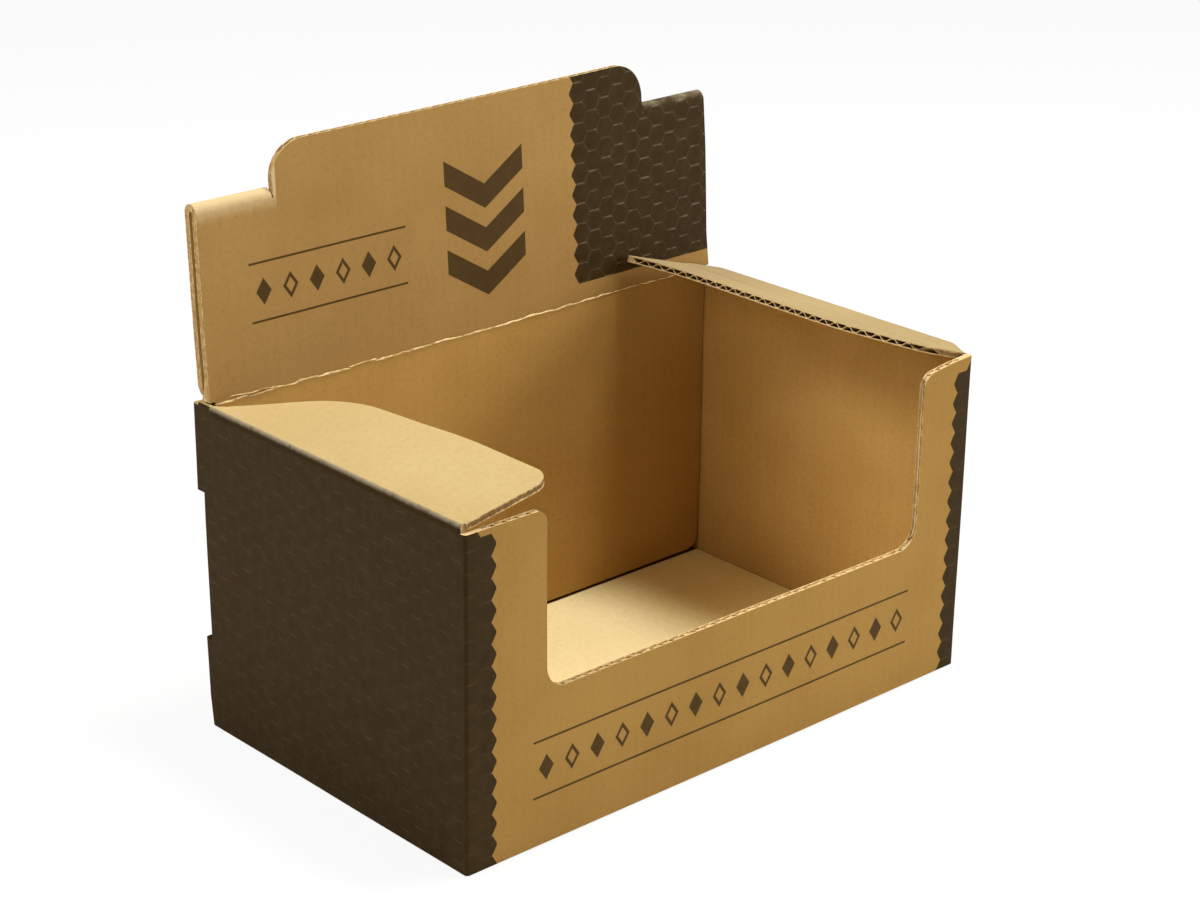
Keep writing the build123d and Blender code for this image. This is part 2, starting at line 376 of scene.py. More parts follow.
# band of diamonds between two rules, on the lip or on the header
def diamondBand(tree, across, up, spot):
    cell = calc(tree, "DIVIDE", calc(tree, "SUBTRACT", across, spot["from"]), diamonds["pitch"])
    local = calc(tree, "ABSOLUTE", calc(tree, "SUBTRACT", calc(tree, "FRACT", cell), 0.5))
    away = calc(tree, "ABSOLUTE", calc(tree, "SUBTRACT", up, spot["middle"]))
    size = calc(tree, "MULTIPLY", local, diamonds["pitch"] / diamonds["halfWidth"])
    size = calc(tree, "MULTIPLY_ADD", away, 1 / diamonds["halfHeight"], size)
    filled = rise(tree, size, *diamonds["edge"])
    outline = rise(tree, size, *diamonds["hollow"])
    odd = calc(tree, "MODULO", calc(tree, "FLOOR", cell), 2.0)
    shapes = both(tree, filled, either(tree, outline, outside(tree, odd)))
    ends = within(tree, across, spot["from"], spot["to"], inkLook["soft"])
    ruleEnd = diamonds["ruleAway"] + diamonds["rule"]
    rules = within(tree, away, diamonds["ruleAway"], ruleEnd, inkLook["soft"])
    return both(tree, either(tree, shapes, rules), ends)


chevrons = {
    "middle": 4.0,
    "halfWidth": 13.0,
    "slope": 0.62,
    "low": 96.0,
    "pitch": 11.5,
    "share": 0.56,  # ink in a pitch
    "soft": 0.004,  # in pitches
    "count": 3,
}


def chevronStack(tree, x, z):
    out = calc(tree, "ABSOLUTE", calc(tree, "SUBTRACT", x, chevrons["middle"]))
    risen = calc(tree, "SUBTRACT", z, calc(tree, "MULTIPLY", out, chevrons["slope"]))
    risen = calc(tree, "DIVIDE", calc(tree, "SUBTRACT", risen, chevrons["low"]), chevrons["pitch"])
    share = chevrons["share"]
    soft = chevrons["soft"]
    stripe = rise(tree, calc(tree, "FRACT", risen), share + soft, share - soft)
    stack = within(tree, risen, 0.0, chevrons["count"], soft / 2)
    half = chevrons["halfWidth"]
    sides = rise(tree, out, half + inkLook["soft"], half - inkLook["soft"])
    return both(tree, stripe, stack, sides)


def wallMaterial():
    material, tree, place, axes = startMaterial("printedWall")
    x, y, z = axes
    halfRound = 2 * (board["halfWidth"] + board["halfDepth"])  # middle of the front to middle of the back
    face = board["halfDepth"] - honey["faceDepth"]
    onBack = calc(tree, "GREATER_THAN", y, face)
    onFront = calc(tree, "LESS_THAN", y, -face)
    out = calc(tree, "ABSOLUTE", x)
    sideways = calc(tree, "ADD", out, calc(tree, "ADD", y, board["halfDepth"]))
    around = between(tree, onBack, sideways, calc(tree, "SUBTRACT", halfRound, out))
    right = calc(tree, "GREATER_THAN", x, 0.0)
    along = calc(tree, "SUBTRACT", around, between(tree, right, honey["frontLeft"], honey["frontRight"]))
    up = calc(tree, "SUBTRACT", z, honey["firstNotch"] - halfCell * honey["side"])
    middle, level, edge, flat = honeycomb(tree, along, up, honey["side"])
    inner = calc(tree, "GREATER_THAN", middle, honey["slack"])
    low = calc(tree, "LESS_THAN", level, honey["slack"])
    last = halfRound - honey["back"] - honey["frontLeft"]
    field = both(tree, either(tree, inner, low), calc(tree, "LESS_THAN", middle, last))
    field = both(tree, field, scalloped(tree, along, up, middle, level, last))
    colour, height, wave = kraftFace(tree, place, around, kraft["printSide"])
    band = both(tree, diamondBand(tree, x, z, diamonds["lip"]), onFront)
    line = both(tree, brokenLine(tree, place, edge, flat), field, honey["wallLine"])
    ink = either(tree, field, both(tree, band, inkLook["art"]))
    colour = inked(tree, place, colour, wave, ink, line)
    rough = between(tree, ink, roughness["printSide"], roughness["ink"])
    return finishMaterial(material, colour, height, rough)


# ink rubbed along the header's roll, and a painted highlight over worn board at the left, in mm
rollWear = {
    "from": 60.6,  # beside the tab
    "uneven": dict(scale=0.7, detail=4, rough=0.7),
    "reach": 2.6,  # of the unevenness
    "ink": (-0.2, 1.4),  # ink rubbed off at the right, from the roll's top
    "patches": dict(scale=0.16, detail=3, rough=0.55, low=0.30, high=0.62, most=0.70),
    "litAndWorn": (-4.2, 1.3),  # painted highlight on board worn pale at the left
    "litAndWornShare": 0.85,
}


def headerMaterial():
    material, tree, place, axes = startMaterial("printedHeader")
    x, y, z = axes
    risen = calc(tree, "MULTIPLY", calc(tree, "SUBTRACT", z, board["rim"]), math.tan(board["lean"]))
    behind = calc(tree, "SUBTRACT", calc(tree, "SUBTRACT", y, creaseY), risen)
    front = outside(tree, calc(tree, "GREATER_THAN", behind, layerPitch))
    along = calc(tree, "SUBTRACT", x, honey["header"])
    up = calc(tree, "SUBTRACT", z, honey["headerNotch"] - halfCell * honey["side"])
    middle, level, edge, flat = honeycomb(tree, along, up, honey["side"])
    foot = honey["headerFoot"]
    above = rise(tree, z, foot - inkLook["soft"], foot + inkLook["soft"])
    wrap = honey["headerWrap"]
    wrapped = rise(tree, z, wrap - honey["wrapSoft"], wrap + honey["wrapSoft"])
    field = both(tree, above, either(tree, wrapped, front))
    field = both(tree, field, scalloped(tree, along, up, middle, level, 2 * board["halfWidth"]))
    colour, height, wave = kraftFace(tree, place, x, kraft["header"])
    panel = kraftFace(tree, place, x, kraft["panel"])[0]
    colour = mixed(tree, calc(tree, "LESS_THAN", z, board["rim"]), colour, panel)
    art = either(tree, chevronStack(tree, x, z), diamondBand(tree, x, z, diamonds["header"]))
    art = both(tree, art, front)
    ink = either(tree, field, both(tree, art, inkLook["art"]))
    line = both(tree, brokenLine(tree, place, edge, flat), field)
    top = rollAxis.z + rollRadius
    crown = calc(tree, "MULTIPLY_ADD", grain(tree, place, rollWear["uneven"]), rollWear["reach"], z)
    patches = spread(tree, place, rollWear["patches"])
    worn = rise(tree, crown, *[top + offset for offset in rollWear["ink"]])
    worn = both(tree, worn, calc(tree, "GREATER_THAN", x, rollWear["from"]), field, patches)
    # painted highlight: the left roll turns pale, partly as worn board
    litAndWorn = rise(tree, crown, *[top + offset for offset in rollWear["litAndWorn"]])
    litAndWorn = both(tree, litAndWorn, calc(tree, "LESS_THAN", x, -rollWear["from"]), rollWear["litAndWornShare"])
    colour = mixed(tree, litAndWorn, colour, paint(*kraft["roll"]))
    colour = inked(tree, place, colour, wave, ink, line)
    colour = mixed(tree, worn, colour, paint(*kraft["rubbed"]))
    rough = between(tree, ink, roughness["printSide"], roughness["ink"])
    return finishMaterial(material, colour, height, rough)


def plainMaterial(name, tones, acrossAxis):
    material, tree, place, axes = startMaterial(name)
    if acrossAxis == "round":
        across = calc(tree, "ADD", calc(tree, "ABSOLUTE", axes[0]), axes[1])
    else:
        across = axes["xyz".index(acrossAxis)]
    colour, height, wave = kraftFace(tree, place, across, tones)
    return finishMaterial(material, colour, height, roughness["plain"])


trayFloor = {
    "paintedBounce": (34.0, 60.0),  # x over which the painted warm bounce light comes in
    "gapSoft": 0.4,
}


# floor of the tray: painted paler as the light on it, with painted warm bounce light at the right and
# painted shade under the inner back panel
def floorMaterial():
    material, tree, place, axes = startMaterial("kraftFloorPaintedLight")
    x, y, z = axes
    colour, height, wave = kraftFace(tree, place, x, kraft["floor"])
    paintedBounce = kraftFace(tree, place, x, kraft["floorPaintedBounce"])[0]
    # painted bounce light: the floor turns warmer towards the right
    colour = mixed(tree, rise(tree, x, *trayFloor["paintedBounce"]), colour, paintedBounce)
    panel = creaseY - halfThick
    # painted shade: the floor turns dark under the inner back panel
    paintedGapShade = rise(tree, y, panel, panel + trayFloor["gapSoft"])
    colour = mixed(tree, paintedGapShade, colour, paint(*kraft["paintedGapShade"]))
    return finishMaterial(material, colour, height, roughness["plain"])


cutLook = {
    "fluff": dict(scale=1.8, detail=4, rough=0.65, low=0.32, high=0.68, most=1.0),
    "shreds": dict(scale=1.2, detail=3, rough=0.55, low=0.55, high=0.80, most=0.4, stretch=(1.0, 1.0, 4.0)),
    "evenness": 0.5,
    "height": 0.05,
}


def cutMaterial():
    material, tree, place, axes = startMaterial("cutEdge")
    deep, usual, pale = [paint(*tone) for tone in kraft["cut"]]
    fluff = grain(tree, place, cutLook["fluff"])
    colour = mixed(tree, shown(tree, fluff, cutLook["fluff"]), deep, pale)
    colour = mixed(tree, cutLook["evenness"], colour, usual)
    colour = mixed(tree, spread(tree, place, cutLook["shreds"]), colour, deep)
    height = calc(tree, "MULTIPLY", fluff, cutLook["height"])
    return finishMaterial(material, colour, height, roughness["cut"])


seamLook = {
    "fluff": dict(scale=1.1, detail=4, rough=0.65, low=0.35, high=0.70, most=1.0),
    "uneven": 0.9,
    "paintedGapShade": (0.62, 0.36),  # painted shade between the liners, in mm from the middle of the sheet
    "gapDepth": 0.25,
    "height": 0.05,
    # strength of the painted shade in the gap, by edge
    "frontDark": 0.65,
    "headerDark": 0.22,
    "leftDark": 0.80,
    "rightDark": 0.70,
}


# cut along the flutes: liners painted darker as shade, with painted shade in the gap between them; a sheet
# is a plane's normal and how far out
def seamMaterial(name, sheets, dark):
    material, tree, place, axes = startMaterial(name)
    deep, usual, pale = [paint(*tone) for tone in kraft["cut"]]
    away = None
    for normal, offset in sheets:
        level = vectorCalc(tree, "DOT_PRODUCT", place, normal)["Value"]
        level = calc(tree, "ABSOLUTE", calc(tree, "SUBTRACT", level, offset))
        away = level if away is None else calc(tree, "MINIMUM", away, level)
    fluff = grain(tree, place, seamLook["fluff"])
    ragged = calc(tree, "MULTIPLY_ADD", calc(tree, "SUBTRACT", fluff, 0.5), seamLook["uneven"], away)
    paintedGapShade = rise(tree, ragged, *seamLook["paintedGapShade"])
    # painted shade: liners darker than other cut edges, and dark between them
    colour = mixed(tree, shown(tree, fluff, seamLook["fluff"]), deep, usual)
    colour = mixed(tree, calc(tree, "MULTIPLY", paintedGapShade, dark), colour, paint(*kraft["paintedCoreShade"]))
    height = calc(tree, "MULTIPLY", fluff, seamLook["height"])
    height = calc(tree, "MULTIPLY_ADD", paintedGapShade, -seamLook["gapDepth"], height)
    return finishMaterial(material, colour, height, roughness["cut"])


def flapUp(tilt, side):
    return Vector((side * math.sin(tilt), 0, math.cos(tilt)))


def flapSheet(tilt, side):
    normal = flapUp(tilt, side)
    return [(tuple(normal), normal.dot(Vector((side * hingeX, 0, hingeZ))))]


frontSheet = [((0, 1, 0), halfThick - board["halfDepth"])]
creaseLevel = headerBack.dot(Vector((0, creaseY, board["rim"])))
headerSheets = [(tuple(headerBack), creaseLevel), (tuple(headerBack), creaseLevel + layerPitch)]
leftSheet = flapSheet(board["leftTilt"], -1)
rightSheet = flapSheet(board["rightTilt"], 1)
materials = {
    "wall": wallMaterial(),
    "header": headerMaterial(),
    "inside": plainMaterial("kraftInside", kraft["inside"], "round"),
    "floor": floorMaterial(),
    "header inside": plainMaterial("kraftLayer", kraft["inside"], "x"),
    "cut": cutMaterial(),
    "front seam": seamMaterial("cutFront", frontSheet, seamLook["frontDark"]),
    "header seam": seamMaterial("cutHeader", headerSheets, seamLook["headerDark"]),
    "left seam": seamMaterial("cutLeftFlap", leftSheet, seamLook["leftDark"]),
    "right seam": seamMaterial("cutRightFlap", rightSheet, seamLook["rightDark"]),
    "flapTop": plainMaterial("kraftFlapLit", kraft["flap"], "y"),
    "rightTopShaded": plainMaterial("kraftRightFlapShaded", kraft["rightFlapShaded"], "y"),
    "flapUnder": plainMaterial("kraftFlapUnder", kraft["inside"], "y"),
}
print("materials:", len(materials))

# how the set-up sheet strays from flat and square, in mm; x, y and z say where a form begins and is full
warp = {
    "waves": 0.22,
    "pace": 0.021,  # cycles per mm
    "apart": 7.3,  # between the noises of the three axes
    "still": (2.0, 16.0),  # the waves begin this far from a flap's fold
    "foot": 20.0,  # and lift the sheet fully from this height
    "rear": (38.0, 44.0),  # y of the header
    "header": {"reach": -0.6, "z": (88.0, 98.0)},  # stands a little to the left
    "tab": {"reach": -0.5, "x": (-76.0, -61.0), "z": (118.0, 140.0)},  # and so does the tab
    "tabTilt": {"reach": 0.5, "z": (137.0, 146.0)},  # which is higher at its right end
    "tabHalf": 60.0,
    "ear": {"reach": 2.9, "x": (-66.0, -84.0), "y": (43.0, 50.0), "z": (92.0, 87.5)},  # rear left fold
    "earFoot": ((0.3, 0.0, 6.0), (0.7, 4.0, 62.0)),  # bows out in two steps up from the counter
    "curl": {"reach": 1.2, "x": (-83.0, -64.0), "y": (-10.0, 15.0), "z": (84.0, 86.0)},  # left flap
    "curlEnd": (-30.0, -50.0),
    "corner": {"reach": 2.1, "x": (60.0, 82.0), "y": (-47.6, -48.0), "z": (70.0, 84.5)},  # right post rises
    "cornerTop": 85.1,
    "nose": {"reach": 0.9, "x": (50.0, 60.0), "y": (-44.0, -48.8)},  # right flap keeps clear of it
}


def ease(value, low, high):
    share = min(1.0, max(0.0, (value - low) / (high - low)))
    return share * share * (3 - 2 * share)


def moved(form, point):
    reach = form["reach"]
    for axis, name in enumerate("xyz"):
        if name in form:
            reach *= ease(point[axis], *form[name])
    return reach


# slow waves in the sheet, none at the folds that the flaps swing on
def slowWaves(point):
    place = point * warp["pace"]
    waves = Vector([noise.noise(place + Vector((0, 0, warp["apart"] * axis))) for axis in range(3)])
    fromFold = math.dist((abs(point.x), point.z), (hingeX, hingeZ))
    return waves * warp["waves"] * ease(fromFold, *warp["still"])


def drift(point):
    move = slowWaves(point)
    move.z *= min(1.0, max(0.0, point.z / warp["foot"]))
    behind = ease(point.y, *warp["rear"])
    move.x += (moved(warp["header"], point) + moved(warp["tab"], point)) * behind
    move.z += moved(warp["tabTilt"], point) * point.x / warp["tabHalf"] * behind
    foot = sum(share * ease(point.z, low, high) for share, low, high in warp["earFoot"])
    move.y += moved(warp["ear"], point) * foot
    move.z += moved(warp["curl"], point) * ease(point.x, *warp["curlEnd"]) * (1 - behind)
    return move


def trayDrift(point):
    move = drift(point)
    if point.z < warp["cornerTop"]:
        move.z += moved(warp["corner"], point)
    return move


def flapDrift(point):
    move = drift(point)
    move.y += moved(warp["nose"], point)
    return move


# how a facet's face is told: mm and cosines
sorting = {
    "near": 0.04,  # off the face that it lies on
    "slack": 0.01,
    "facing": 0.97,
    "upright": 0.3,
    "turned": 0.1,
    "belowRim": 4.0,  # the header's facets begin here
    "beforeCrease": 2.0,
    "belowRoll": 0.2,
    "foldTop": 0.1,
    "foldInk": 0.6,  # the rim fold is inked outside, then bare on top
    "foldBare": -0.3,
    "lipFlap": 20.0,  # height of the floor's flap
    "lipPlay": 0.4,
    "slotTop": 66.0,
    "slotReach": 5.0,
    "frontSeam": 0.7,
    "seam": 0.5,  # ends of the header and of the flaps
}


def nearLine(point, axis, radius):
    return abs(math.dist(point, axis) - radius) < sorting["near"]


def headerSurface(y, z, normal):
    near = sorting["near"]
    facing = sorting["facing"]
    tilted = normal.dot(headerBack)
    lean = (y - creaseY) * math.cos(board["lean"]) - (z - board["rim"]) * math.sin(board["lean"])
    rollPlace = (rollAxis.y, rollAxis.z)
    if nearLine((y, z), rollPlace, rollRadius) and z > rollAxis.z - sorting["belowRoll"]:
        return "header"
    if abs(lean + halfThick) < near and tilted < -facing:
        return "header"
    if abs(lean - layerPitch - halfThick) < near and tilted > facing:
        return "header"
    if min(abs(lean - halfThick), abs(lean - layerPitch + halfThick)) < near and abs(tilted) > facing:
        return "header inside"
    if nearLine((y, z), rollPlace, board["layerGap"] / 2):
        return "header inside"
    return None


# which face of the board a facet belongs to, by place and direction
def traySurface(centre, normal):
    x, y, z = centre
    near = sorting["near"]
    slack = sorting["slack"]
    facing = sorting["facing"]
    thick = board["thick"]
    fold = board["foldRadius"]
    inside = board["foldInside"]
    edgeX = board["halfWidth"]
    edgeY = board["halfDepth"]
    outX = math.copysign(1, x) * normal.x
    outY = math.copysign(1, y) * normal.y
    atHeader = z > board["rim"] - sorting["belowRim"] and y > creaseY - sorting["beforeCrease"]
    if atHeader:
        finish = headerSurface(y, z, normal)
        if finish:
            return finish
    if abs(y - creaseY + halfThick) < near and normal.y < -facing:
        return "header"
    if abs(y - creaseY - halfThick) < near and normal.y > facing:
        return "header inside"
    for finish, inset, radius in (("wall", fold, fold), ("inside", thick + inside, inside)):
        corner = (edgeX - inset, edgeY - inset)
        inCorner = abs(x) > corner[0] - slack and abs(y) > corner[1] - slack
        if inCorner and abs(normal.z) < sorting["upright"] and nearLine((abs(x), abs(y)), corner, radius):
            return finish
    if z > hingeZ - sorting["foldTop"] and nearLine((abs(x), z), (hingeX, hingeZ), halfThick):
        if outX > sorting["foldInk"]:
            return "wall"
        return "flapTop" if outX > sorting["foldBare"] else "inside"
    for away, out in ((abs(x) - edgeX, outX), (abs(y) - edgeY, outY)):
        if abs(away) < near and out > facing:
            return "wall"
        if abs(away + thick) < near and out < -facing:
            return "inside"
    if abs(z - thick) < near and normal.z > facing:
        return "floor"
    under = abs(z) < near or abs(normal.x) < sorting["turned"]
    if z < fold and under and normal.z < -sorting["turned"] and y > thick - edgeY:
        return "floor"
    onFlap = abs(y + edgeY - thick) < thick + sorting["lipPlay"]
    if y < 3 * thick - edgeY and abs(normal.y) > facing and z < sorting["lipFlap"] and onFlap:
        return "inside"
    if abs(normal.x) > sorting["frontSeam"] and y < thick - edgeY + slack and z > sorting["lipFlap"]:
        return "front seam"
    inSlot = abs(x) > edgeX - sorting["slotReach"] and y > edgeY - sorting["slotReach"]
    if inSlot and sorting["lipFlap"] < z < sorting["slotTop"]:
        return "wall"
    if atHeader and abs(normal.x) > sorting["seam"]:
        return "header seam"
    return "cut"


def flapSurface(tilt, side):
    up = flapUp(tilt, side)
    hinge = Vector((side * hingeX, 0, hingeZ))

    def surface(centre, normal):
        lift = (centre - hinge).dot(up)
        if abs(lift - halfThick) < sorting["near"] and normal.dot(up) > sorting["facing"]:
            return "flapTop" if side < 0 else "rightTopShaded"
        if abs(lift + halfThick) < sorting["near"] and normal.dot(up) < -sorting["facing"]:
            return "flapUnder"
        if normal.y < -sorting["seam"]:
            return "left seam" if side < 0 else "right seam"
        return "cut"
    return surface


boardMesh = {
    "merge": 0.002,  # mm
    "flat": math.radians(0.3),
    "sharp": math.radians(38),
    "cut": 8.0,  # mm between added edges
    "cutSlack": 0.001,
    "spans": ((-84.0, 84.0), (-52.0, 52.0), (0.0, 150.0)),  # x, y, z
    "fineCuts": (-48.0, -47.0, -46.0, -45.0, -44.0, -43.0, -41.5, 43.0, 44.5, 46.0, 47.5, 48.8),  # in y
}


def cutAcross(shape, axis, at):
    normal = Vector((0, 0, 0))
    normal[axis] = 1
    geometry = shape.verts[:] + shape.edges[:] + shape.faces[:]
    slack = boardMesh["cutSlack"] * mm
    bmesh.ops.bisect_plane(shape, geom=geometry, dist=slack, plane_co=normal * at * mm, plane_no=normal)


# a merged copy of a solid, with its faces given to the finishes of the board
def boardPiece(node, name, body, surface, stray):
    shape = bmesh.new()
    shape.from_mesh(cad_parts[node].data)
    bmesh.ops.remove_doubles(shape, verts=shape.verts, dist=boardMesh["merge"] * mm)
    bmesh.ops.dissolve_limit(shape, angle_limit=boardMesh["flat"], verts=shape.verts, edges=shape.edges)
    slots = list(materials)
    shape.normal_update()
    for face in shape.faces:
        face.material_index = slots.index(surface(face.calc_center_median() / mm, face.normal))
        face.smooth = True
    for axis, (at, last) in enumerate(boardMesh["spans"]):
        while at < last:
            cutAcross(shape, axis, at)
            at += boardMesh["cut"]
    for at in boardMesh["fineCuts"]:
        cutAcross(shape, 1, at)
    for edge in shape.edges:
        edge.smooth = len(edge.link_faces) == 2 and edge.calc_face_angle(0.0) < boardMesh["sharp"]
    for vertex in shape.verts:
        vertex.co += stray(vertex.co / mm) * mm
    mesh = bpy.data.meshes.new(name)
    shape.to_mesh(mesh)
    shape.free()
    for slot in slots:
        mesh.materials.append(materials[slot])
    piece = bpy.data.objects.new(name, mesh)
    scene.collection.objects.link(piece)
    weighted = piece.modifiers.new("weightedNormal", "WEIGHTED_NORMAL")
    weighted.keep_sharp = True
    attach(piece, body)
    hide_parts(node)
    print(name, len(mesh.polygons), "faces")


leftSurface = flapSurface(board["leftTilt"], -1)
rightSurface = flapSurface(board["rightTilt"], 1)
boardPiece("folded_blank", "trayBoard", "tray", traySurface, trayDrift)
boardPiece("left_flap", "leftFlapBoard", "left_flap", leftSurface, flapDrift)
boardPiece("right_flap", "rightFlapBoard", "right_flap", rightSurface, flapDrift)


# a piece from an open sheet, thickened inwards
def sheetPiece(name, shape, material, thick):
    for face in shape.faces:
        face.smooth = True
    mesh = bpy.data.meshes.new(name)
    shape.to_mesh(mesh)
    shape.free()
    mesh.materials.append(material)
    piece = bpy.data.objects.new(name, mesh)
    scene.collection.objects.link(piece)
    shell = piece.modifiers.new("sheet", "SOLIDIFY")
    shell.thickness = thick * mm
    shell.offset = -1.0
    return piece


# skin of the sheet over a flap's fold, dark ink rubbed pale along the crest
foldSkin = {
    "wallReach": 1.9,  # mm down the wall
    "leftReach": 2.2,  # mm onto the flap
    "rightReach": 10.0,
    "leastReach": 0.4,
    "leftTaper": (0.79, 44.8),  # slope, and the y where it narrows to nothing
    "rightTaper": (2.2, -47.9),
    "crestRear": 0.6,  # the right fold stands up, higher towards the front
    "crestFront": 1.6,
    "crestEnds": (40.0, -43.0),  # y where it begins to die out
    "proud": 0.045,
    "sunk": 0.10,
    "edge": 0.12,  # share of the width that sinks into the board
    "ripple": 0.07,
    "rippleReach": 0.8,
    "ripplePace": (7.0, 0.55, 0.6),  # side, along, across
    "thick": 0.16,
    "across": 40,
    "along": 84,
    "leftFrom": -48.4,
    "rightFrom": -47.8,
    "to": 45.1,
    "blendLow": 0.4,  # mm below and past the hinge, where it begins to swing and swings fully
    "blendHigh": 0.1,
    "ragged": dict(scale=0.6, detail=4, rough=0.6),
    "raggedReach": 0.10,
    "ink": (0.60, 0.50),  # shares of the nominal width
    "rub": (0.28, 0.52),
    "rubPatches": dict(scale=0.25, detail=3, rough=0.55, low=0.10, high=0.50, most=0.90),
    "height": 0.03,
}


def skinMaterial(name, tones):
    material, tree, place, axes = startMaterial(name)
    across = addNode(tree, "ShaderNodeAttribute", {}, attribute_name="across").outputs["Fac"]
    colour, height, wave = kraftFace(tree, place, axes[1], tones)
    reach = foldSkin["raggedReach"]
    ragged = grain(tree, place, foldSkin["ragged"])
    ragged = calc(tree, "MULTIPLY_ADD", ragged, reach, calc(tree, "SUBTRACT", across, reach / 2))
    ink = rise(tree, ragged, *foldSkin["ink"])
    rub = both(tree, rise(tree, ragged, *foldSkin["rub"]), spread(tree, place, foldSkin["rubPatches"]))
    tint = mixed(tree, rub, paint(*kraft["ink"]), paint(*kraft["rubbed"]))
    colour = mixed(tree, ink, colour, tint)
    height = calc(tree, "MULTIPLY_ADD", ragged, foldSkin["height"], height)
    return finishMaterial(material, colour, height, roughness["foldSkin"])


# how far the skin lies on the flap: it narrows with the flap at one end
def skinReach(side, along):
    most = foldSkin["leftReach"] if side < 0 else foldSkin["rightReach"]
    slope, end = foldSkin["leftTaper"] if side < 0 else foldSkin["rightTaper"]
    return min(most, foldSkin["leastReach"] + slope * max(0.0, side * (along - end)))


# how high the fold stands above the flap
def skinCrest(side, along):
    if side < 0:
        return 0.0
    rear = foldSkin["to"]
    front = foldSkin["rightFrom"]
    rearEnd, frontEnd = foldSkin["crestEnds"]
    forward = (rear - along) / (rear - front)
    height = foldSkin["crestRear"] + (foldSkin["crestFront"] - foldSkin["crestRear"]) * forward
    return height * ease(along, rear, rearEnd) * ease(along, front, frontEnd)


# lift of the skin off the board, sunk at both edges and rippled at the crest
def skinLift(side, share, along, run, bend):
    inward = min(1.0, min(share, 1 - share) / foldSkin["edge"])
    lift = -foldSkin["sunk"] + (foldSkin["proud"] + foldSkin["sunk"]) * inward
    away = abs(run - foldSkin["wallReach"] - bend / 2)
    crest = max(0.0, 1 - away / (bend + foldSkin["rippleReach"]))
    bySide, byAlong, byRun = foldSkin["ripplePace"]
    ripple = noise.noise(Vector((side * bySide, along * byAlong, run * byRun)))
    return lift + foldSkin["ripple"] * crest * ripple


def makeSkin(name, side, tilt, material):
    shape = bmesh.new()
    bmesh.ops.create_grid(shape, x_segments=foldSkin["across"], y_segments=foldSkin["along"], size=0.5)
    wall = foldSkin["wallReach"]
    arc = math.pi / 2 - tilt
    bend = arc * halfThick
    nominal = wall + bend + foldSkin["leftReach"]
    first = foldSkin["leftFrom"] if side < 0 else foldSkin["rightFrom"]
    shares = {}
    for vertex in shape.verts:
        share = vertex.co.x + 0.5
        along = first + (vertex.co.y + 0.5) * (foldSkin["to"] - first)
        reach = skinReach(side, along)
        run = share * (wall + bend + reach)
        radius = halfThick + skinLift(side, share, along, run, bend)
        onFlap = max(0.0, run - wall - bend)
        if run < wall:
            out, up = radius, run - wall
        elif run < wall + bend:
            angle = (run - wall) / halfThick
            out, up = radius * math.cos(angle), radius * math.sin(angle)
        else:
            out = radius * math.cos(arc) - onFlap * math.sin(arc)
            up = radius * math.sin(arc) + onFlap * math.cos(arc)
        stands = ease(run, 0.0, wall + bend / 2) * (1 - ease(onFlap / reach, 0.0, 1.0))
        up += skinCrest(side, along) * stands
        place = Vector((side * (hingeX + out), along, hingeZ + up))
        vertex.co = (place + drift(place)) * mm
        shares[vertex.index] = run / nominal
    shape.normal_update()
    middle = next(f for f in shape.faces if abs(f.calc_center_median().y) < 2 * mm)
    if middle.normal.x * side < 0 and middle.normal.z < 0:
        bmesh.ops.reverse_faces(shape, faces=shape.faces)
    piece = sheetPiece(name, shape, material, foldSkin["thick"])
    across = piece.data.attributes.new("across", "FLOAT", "POINT")
    for index, share in shares.items():
        across.data[index].value = share
    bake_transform(piece)
    print(name, "over the fold")


leftRubbed = skinMaterial("rubbedLeftFold", kraft["flap"])
# the right fold's skin takes the painted shade of the right flap
rightRubbed = skinMaterial("rubbedRightFold", kraft["rightFlapShaded"])
makeSkin("leftFoldSkin", -1, board["leftTilt"], leftRubbed)
makeSkin("rightFoldSkin", 1, board["rightTilt"], rightRubbed)

# cracked crease where the front layer of the header bends down into the tray, in short torn strands
rimCrease = {
    "from": -81.0,
    "to": 80.0,
    "openTo": 44.0,  # further right the crack is hardly open
    "closed": 0.5,
    "level": 87.15,
    "strand": (5.0, 15.0),  # shortest and longest strand, mm
    "overlap": 2.2,
    "wander": 0.48,
    "slope": 0.03,
    "ripple": 0.34,
    "halfWidth": 0.30,
    "widthPlay": 0.7,
    "height": 0.30,
    "chips": (0.8, 0.7),  # share of the height that is steady, and that chips away
    "crest": 0.35,  # highest below the middle, in half widths
    "lower": 0.9,
    "sunk": 0.10,
    "thick": 0.16,
    "step": 0.6,  # mm
    "fray": (-77.0, -64.0),  # a second row of strands at the left end
    "frayGap": 0.7,
    "frayWidth": 0.4,
    "tone": (228, 201, 148),
    "torn": dict(scale=0.9, detail=4, rough=0.7, low=0.36, high=0.62, most=1.0, stretch=(0.45, 1.0, 1.6)),
    "bump": 0.05,
}
# where the strands read their noise: pace by row, by strand, and a place
strandNoise = {"length": (3.7, 1.37, 0.5), "shift": (1.9, 2.31, 4.5), "slope": (5.1, 1.73, 8.5)}
# and along a strand: pace along and by level, and a place
edgeNoise = {"chips": (0.9, 5.0, 0.0), "quick": (0.5, 9.0, 2.0), "sway": (0.21, 3.0, 6.0)}


def readNoise(first, second, paces, third=0.0):
    return noise.noise(Vector((first * paces[0], second * paces[1], paces[2] + third)))


def creaseMaterial():
    material, tree, place, axes = startMaterial("crackedCrease")
    torn = grain(tree, place, rimCrease["torn"])
    shade = shown(tree, torn, rimCrease["torn"])
    colour = mixed(tree, shade, paint(*kraft["cut"][0]), paint(*rimCrease["tone"]))
    height = calc(tree, "MULTIPLY", torn, rimCrease["bump"])
    return finishMaterial(material, colour, height, roughness["crease"])


